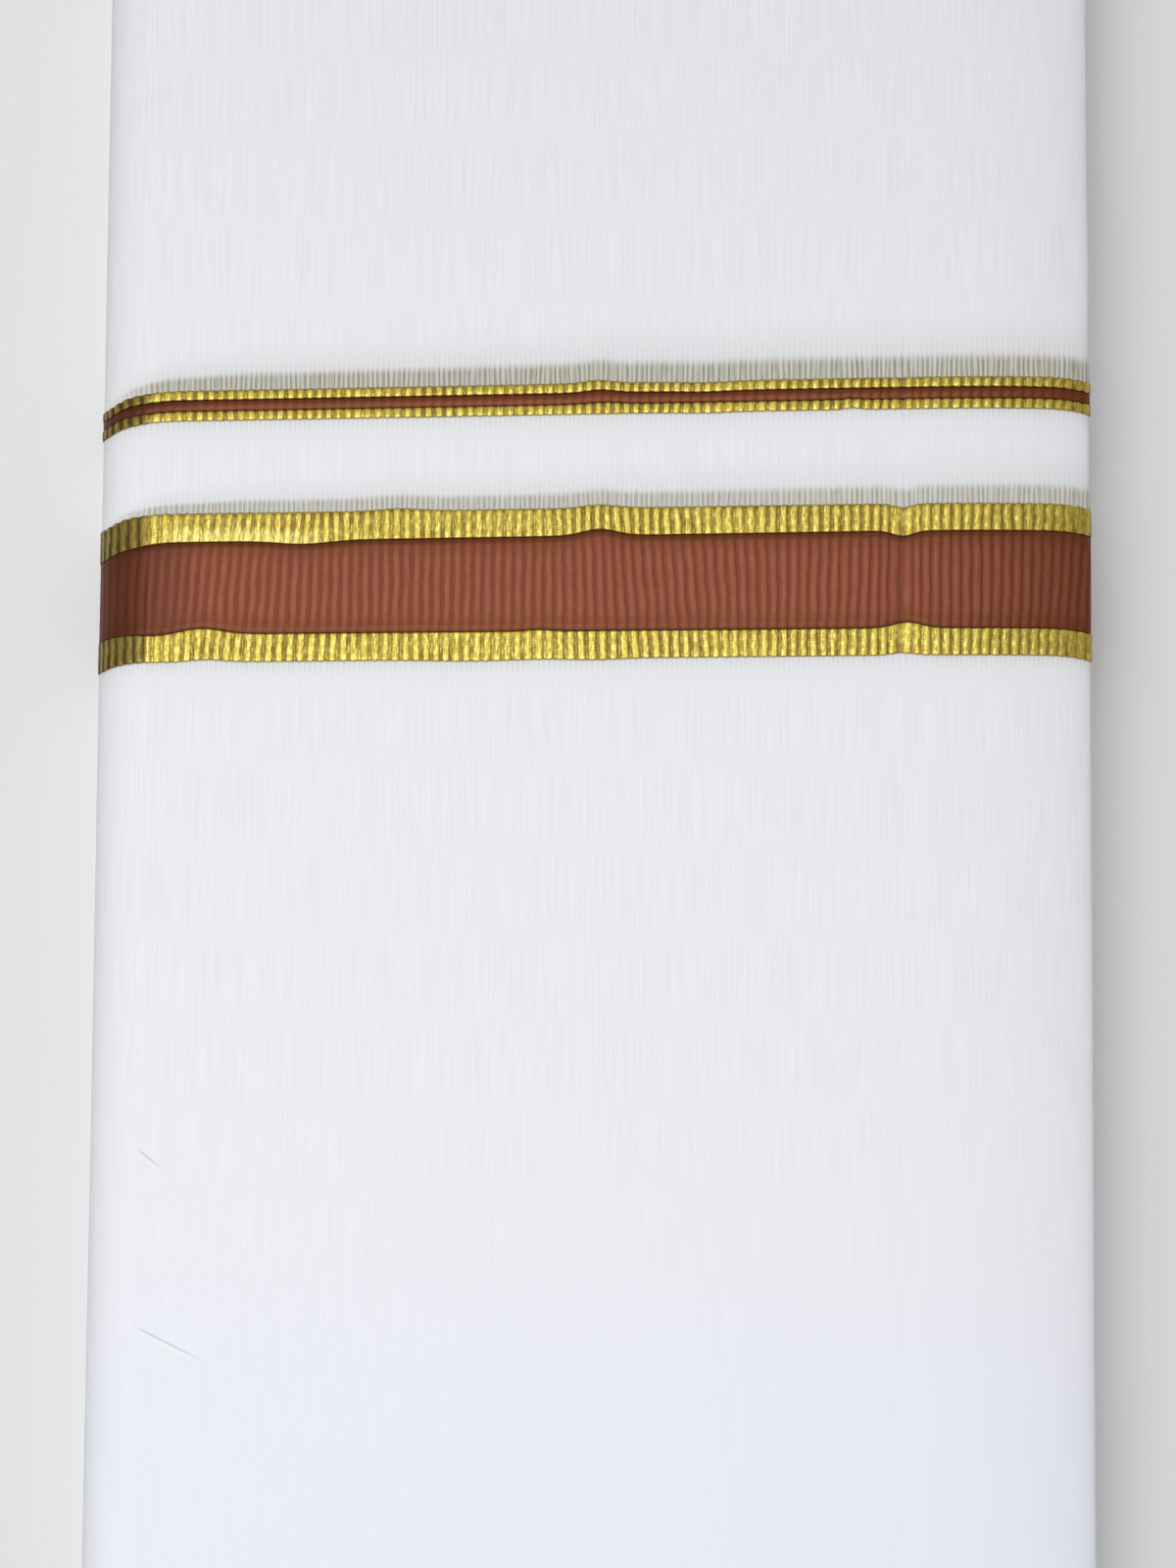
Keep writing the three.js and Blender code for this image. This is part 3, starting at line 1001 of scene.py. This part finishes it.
def white_relief(along, y, behind, before):
    """Plain cloth: the settled height, less a tuck that eases in at the nearest band."""
    height = settled(along, y) - SUNK * under_mask(along)
    nearest = np.minimum(behind, before)
    tuck = TUCK * (1 + under_mask(along)) * (1 - smooth(*WHITE_TUCK, nearest))
    return height - tuck, 0.0


def end_relief(open_side):
    """White relief for a stretch whose front (-1) or back (+1) line is the bundle's end."""

    def relief(along, y, behind, before):
        """The white relief with no band at the open side."""
        far = np.full_like(y, FAR)
        at_edge = (far, before) if open_side < 0 else (behind, far)
        return white_relief(along, y, *at_edge)

    return relief


def white_maps(name):
    """The weave, the distances from the bands, and how strongly the layer below shows through."""
    heights, strength = SHEER.get(name, NO_SHEER)

    def maps(along, y, behind, before):
        """Distances as shares of the strip's height above, and in rib widths below."""
        height = np.interp(along, np.array(SHEER_ALONG) * MM, np.array(heights) * MM)
        above = behind / height if strength else np.full_like(y, FAR)
        below = before / RIB if name != "white_back" else np.full_like(y, FAR)
        fade = strength * smooth(*SHEER_FADE, along) + 0 * y
        return {
            "weave": weave_map(along, y, behind),
            "edges": np.stack([above, below], -1),
            "sheer": np.stack([fade, fade], -1),
        }

    return maps


def band_maps(along, y, behind, before):
    """The weave and the distances from the band's two edges, in rib widths."""
    edges = np.stack([behind / RIB, before / RIB], -1)
    return {"weave": weave_map(along, y, behind), "edges": edges}


def brown_relief(along, y, behind, before):
    """Low ribs on the settled height, less a tuck that eases in at the nearest gold."""
    ribs = BROWN_RIB * (1 - BROWN_FLATTENED * near_pinch(along)) * rib_wave(rib_phase(along, y))
    height = settled(along, y) + ribs + BROWN_RAISE
    height = height - (SUNK + BROWN_RIB + BAND_RAISE) * under_mask(along)
    nearest = np.minimum(behind, before)
    return height - TUCK * (1 - smooth(*BROWN_TUCK, nearest)), 0.0


def near_pinch(along):
    """1 at the place where the band is pinched, falling as a bell to 0 either side."""
    return bell(along, PINCH, PINCH_REACH)


def gold_relief(white_side, inner_scallop):
    """High ribs with scalloped edges, the deeper one in front (-1) or behind (+1) at the white.

    Ribs and raise are added to the settled height. Near an edge the face drops, and between
    the ribs it draws in by 1 - the rib wave, times the scallop's depth.
    """

    def relief(along, y, behind, before):
        """The height over the path, and how far each point shifts along y."""
        rib = rib_wave(rib_phase(along, y))
        ribs = GOLD_RIB * (1 - GOLD_FLATTENED * near_pinch(along)) * rib
        height = settled(along, y) + ribs + BAND_RAISE
        height = height - (SUNK + GOLD_RIB + BAND_RAISE) * under_mask(along)
        to_white, to_brown = (behind, before) if white_side < 0 else (before, behind)
        at_white = 1 - smooth(*GOLD_EDGE, to_white)
        at_brown = 1 - smooth(*GOLD_EDGE, to_brown)
        shift = white_side * (1 - rib) * (inner_scallop * at_brown - SCALLOP * at_white)
        edge_drop = at_white + at_brown * inner_scallop / SCALLOP
        return height - EDGE_DROP * edge_drop, shift

    return relief


# Rows at a stretch's edges: their offsets from its front line, and the same from its back line.
TUCKED_FRONT = [-1.2, -0.5, -0.2, 0.0, 0.2, 0.5, 1.0, 2.2, 4.2]
TUCKED_BACK = [-offset for offset in reversed(TUCKED_FRONT)]
BROWN_FRONT = [-0.5, -0.15, 0.05, 0.25]
BROWN_BACK = [-offset for offset in reversed(BROWN_FRONT)]


def white_stretch(name, front, back, middle, relief):
    """A white stretch of the outer packet."""
    rows = row_table(front, back, middle)
    return build_stretch(name, PLAIN_COLUMNS, rows, relief, CLOTH, white_maps(name), "white_cotton")


def band_stretch(name, rows, relief, finish):
    """A ribbed stretch of a border band."""
    return build_stretch(name, RIBBED_COLUMNS, rows, relief, BAND_CLOTH, band_maps, finish)


def brown_stretch(name, middle):
    """A brown stretch, with so many rows between its edge rows."""
    rows = row_table(flat_rows(BROWN_FRONT), flat_rows(BROWN_BACK), even(middle))
    return band_stretch(name, rows, brown_relief, "brown_border")


def gold_stretch(name, white_side, inner_scallop, middle):
    """A gold stretch, with the white on its front (-1) or back (+1) side."""
    rows = row_table(flat_rows([0.0, 0.35]), flat_rows([-0.35, 0.0]), even(middle))
    return band_stretch(name, rows, gold_relief(white_side, inner_scallop), "gold_zari")


# ---------------------------------------------------------------- the hidden layers

# Insets from the outer face: of the hidden layers at both ends, of their rings further in, and
# of their caps. The slit's lips ease in over the last stretch of the tails.
HIDDEN_START = 1.15 * MM
HIDDEN_DEEP = 1.75 * MM
HIDDEN_END = 5.82 * MM
LIP = 1.6 * MM

# How thick a packet is and the radius of its fold. Then how far each packet behind the
# outermost one ends inside the bundle's end, in millimetres.
PACKET = 1.5 * MM
PACKET_FOLD = 0.5 * MM
SHORT_BACK = (1.5, 2.4, 1.8)
SHORT_FRONT = (1.2, 2.7, 2.0)

# Rows as insets and distances from the bundle's end: those of the outermost packet, and two
# further in, between which the layers run straight from end to end.
OUTER_ROWS = [(HIDDEN_START, 1.6 * MM), (HIDDEN_START + 0.05 * MM, 1.05 * MM), (PACKET, 1.0 * MM)]
INSIDE_ROWS = [(HIDDEN_START, 8 * MM), (HIDDEN_DEEP, 11 * MM)]


def outer_stations(inset):
    """The hidden packets' outer side, from the upper nose's edge over the top to the lower nose's.

    It is four superellipse quarters, drawn in by the inset, joined by straight lines.
    """
    flat = np.linspace(0.02, 0.98, 40)[:, None]
    arcs = [
        upper_nose("upper", 0, 1, inset, 40),
        spine("upper", 1, 0, inset, 40),
        spine("lower", 0, -1, inset, 30)[1:],
        lower_nose("lower", -1, 0, inset, 30),
    ]
    top = arcs[0][-1] + (arcs[1][0] - arcs[0][-1]) * flat
    under = arcs[2][-1] + (arcs[3][0] - arcs[2][-1]) * flat
    return pressed(np.concatenate([arcs[0], top, arcs[1], arcs[2], under, arcs[3]]))


def slit_end(inset, count):
    """The slit's closed end near the spine: half a circle from its upper to its lower lip."""
    angle = np.linspace(1, -1, count) * np.pi / 2
    radius = SLIT_GAP / 2 + inset
    x = SPINE["lower"][0] - HALF_WIDTH
    return np.stack([x - radius * np.cos(angle), MIDDLE + radius * np.sin(angle)], 1)


def slit_stations(inset):
    """The hidden packets' slit side: both noses' inner quarters, and between them two straight
    lines and the closed end. Past the outer packet's tails the lines step in towards the slit.
    """
    flat = np.linspace(0.02, 0.98, 40)
    upper, lower = upper_nose("lower", 0, -1, inset, 40), lower_nose("upper", 1, 0, inset, 30)
    x = upper[-1, 0] + (slit_end(inset, 2)[0, 0] - upper[-1, 0]) * flat
    free = inset - HIDDEN_START * (1 - smooth(TAIL_END - LIP, TAIL_END - 0.3 * MM, x))
    above = np.stack([x, MIDDLE + SLIT_GAP / 2 + free], 1)
    below = np.stack([x[::-1], MIDDLE - SLIT_GAP / 2 - free[::-1]], 1)
    closed = slit_end(inset - HIDDEN_START, 69)
    return pressed(np.concatenate([upper, above, closed, below, lower]))


def packet_rows(shorts):
    """Insets and distances from the bundle's end: a round fold and a set-back ply per packet.

    A fold is half a circle, 1 - cos(angle) deep and 1 - sin(angle) back from its foremost row.
    """
    rows = list(OUTER_ROWS)
    for number, short in enumerate(shorts, 1):
        start = PACKET * number
        for angle in np.linspace(0, np.pi, 8):
            inset = start + 0.02 * MM + PACKET_FOLD * 0.96 * (1 - math.cos(angle))
            rows.append((inset, short * MM + 0.7 * MM * (1 - math.sin(angle))))
        ply = start + 2 * PACKET_FOLD
        rows.append((ply + 0.06 * MM, short * MM + 1.0 * MM))
        rows.append((ply + 0.3 * MM, short * MM + 0.9 * MM))
    rows.append((HIDDEN_END, rows[-1][1]))
    return [(min(inset, HIDDEN_END), short) for inset, short in rows]


def hidden_ring(inset, y, side):
    """One ring of the hidden layers, and how far round it each point is.

    Its end is set in by two waves round the ring, which differ from packet to packet.
    """
    section = np.concatenate([outer_stations(inset), slit_stations(inset)[::-1]])
    around = distances(outer_stations(HIDDEN_START))
    around = np.concatenate([around, around[::-1]])
    layer = round(inset / (0.5 * MM)) // 3
    wave = np.sin(around / (31 * MM) + 2.1 * layer)
    wave = wave + np.sin(around / (13 * MM) + 4.7 * layer + side)
    y = y - side * 0.16 * MM * (wave + 2)
    return np.stack([section[:, 0], y, section[:, 1]], 1), around


def end_rings(side, shorts):
    """The rings at one end as inset, y and side, from the cap at that end to the inside."""
    rows = packet_rows(shorts)[::-1] + INSIDE_ROWS
    return [(inset, side * (HALF_LENGTH - short), side) for inset, short in rows]


def hidden_layers():
    """All packets inside the outer one, as one rounded solid whose two ends show each fold.

    It is a tube whose rows go round the cross-section and whose columns are its rings.
    """
    rings = end_rings(-1, SHORT_FRONT) + end_rings(1, SHORT_BACK)[::-1]
    points, around = zip(*(hidden_ring(*ring) for ring in rings))
    depth = np.array([inset for inset, _, _ in rings])
    weave = np.stack(np.broadcast_arrays(np.stack(around, 1) / RIB, depth / RIB), -1)
    maps = {"weave": weave, "edges": np.full_like(weave, FAR), "sheer": np.zeros_like(weave)}
    piece = tube("cloth_hidden_layers", np.stack(points, 1), maps, "white_cotton")
    return ride_root(piece, "hidden_layers")


white_front = white_stretch(
    "white_front", end_rows(-1), flat_rows(TUCKED_BACK), CREASED, end_relief(-1)
)
gold_wide_front = gold_stretch("wide_gold_front", -1, WIDE_INNER_SCALLOP, 8)
brown_wide = brown_stretch("wide_brown", 13)
gold_wide_back = gold_stretch("wide_gold_back", 1, WIDE_INNER_SCALLOP, 8)
white_between = white_stretch(
    "white_between", flat_rows(TUCKED_FRONT), flat_rows(TUCKED_BACK), even(9), white_relief
)
gold_narrow_front = gold_stretch("narrow_gold_front", -1, NARROW_INNER_SCALLOP, 2)
brown_narrow = brown_stretch("narrow_brown", 1)
gold_narrow_back = gold_stretch("narrow_gold_back", 1, NARROW_INNER_SCALLOP, 2)
white_back = white_stretch(
    "white_back", flat_rows(TUCKED_FRONT), end_rows(1), even(40), end_relief(1)
)
hidden = hidden_layers()


# ---------------------------------------------------------------- floor, light and camera

# The table top: half its side, and the two tones that its grain goes between.
TABLE_HALF = 3.0
TABLE_TONES = ((202, 202, 202), (204, 204, 204))

# Lights: place, size and power, and whether the table is left out or lit alone. The table has
# two of its own, because the light on the cloth would make it too bright.
LIGHTS = {
    "overhead": ((-0.19, -0.14, 1.25), (0.5, 0.9), 13.5, "EXCLUDE"),
    "table_light": ((-1.8, 0.0, 2.4), (1.6, 3.2), 73, "INCLUDE"),
    "table_fill": ((0.0, 0.0, 3.0), (0.3, 0.3), 43, "INCLUDE"),
}
WORLD_LEVEL = 0.2
WORLD_BLUE = 1.02

# The camera looks at a point near the middle of the top face, from that far away.
CAMERA_AIM = Vector((-1.46 * MM, -4.0 * MM, HEIGHT))
CAMERA_REACH = 0.9
CAMERA_ELEVATION = math.radians(84.59)
CAMERA_ROLL = math.radians(0.369)
CAMERA_LENS = 83.12


def make_floor():
    """A plain pale table top: a square with a slight grain."""
    mesh = bpy.data.meshes.new("table_top")
    corners = [(-1, -1), (1, -1), (1, 1), (-1, 1)]
    points = [(x * TABLE_HALF, y * TABLE_HALF, 0) for x, y in corners]
    mesh.from_pydata(points, [], [(0, 1, 2, 3)])
    material = bpy.data.materials.new("pale_table")
    material.use_nodes = True
    tree = material.node_tree
    shader = tree.nodes["Principled BSDF"]
    place = node(tree, "ShaderNodeNewGeometry").outputs["Position"]
    grain = stretched_noise(tree, place, (9.0, 9.0, 9.0))
    dark, pale = (linear(*tone) for tone in TABLE_TONES)
    put(tree, shader.inputs["Base Color"], blend(tree, grain, dark, pale))
    shader.inputs["Roughness"].default_value = 0.9
    shader.inputs["Specular IOR Level"].default_value = 0.1
    mesh.materials.append(material)
    return linked(bpy.data.objects.new("table_top", mesh))


def area_light(name, place, size, power):
    """A soft rectangular light aimed at the origin."""
    data = bpy.data.lights.new(name, "AREA")
    data.shape = "RECTANGLE"
    data.size, data.size_y = size
    data.energy = power
    light = bpy.data.objects.new(name, data)
    light.location = place
    light.rotation_euler = (-Vector(place)).to_track_quat("-Z", "Y").to_euler()
    return linked(light)


def link_to_floor(light, floor, state):
    """Keeps a light off the floor, or on the floor alone."""
    receivers = bpy.data.collections.new("receivers_" + light.name)
    receivers.objects.link(floor)
    receivers.collection_objects[0].light_linking.link_state = state
    light.light_linking.receiver_collection = receivers


def make_world(level):
    """Even light from all round, grey with a little blue."""
    world = bpy.data.worlds.new("studio")
    world.use_nodes = True
    background = world.node_tree.nodes["Background"]
    background.inputs["Color"].default_value = (level, level, level * WORLD_BLUE, 1)
    background.inputs["Strength"].default_value = 1.0
    bpy.context.scene.world = world


def make_camera():
    """The camera nearly overhead, tilted a little towards the back and turned by a hair.

    Its back axis is (0, -cos, sin) of the elevation, and its right axis is +X rolled about it.
    """
    data = bpy.data.cameras.new("camera")
    data.lens = CAMERA_LENS
    data.sensor_width = 36
    data.clip_end = 20
    camera = linked(bpy.data.objects.new("camera", data))
    level, upright = math.cos(CAMERA_ELEVATION), math.sin(CAMERA_ELEVATION)
    back = Vector((0, -level, upright))
    level_up = Vector((0, upright, level))
    right = Vector((1, 0, 0)) * math.cos(CAMERA_ROLL) + level_up * math.sin(CAMERA_ROLL)
    turned = Matrix((right, back.cross(right), back)).transposed().to_4x4()
    camera.matrix_world = Matrix.Translation(CAMERA_AIM + back * CAMERA_REACH) @ turned
    bpy.context.scene.camera = camera


floor = make_floor()
for name, (place, size, power, state) in LIGHTS.items():
    link_to_floor(area_light(name, place, size, power), floor, state)
make_world(WORLD_LEVEL)
make_camera()
bpy.context.scene.view_settings.view_transform = "Standard"
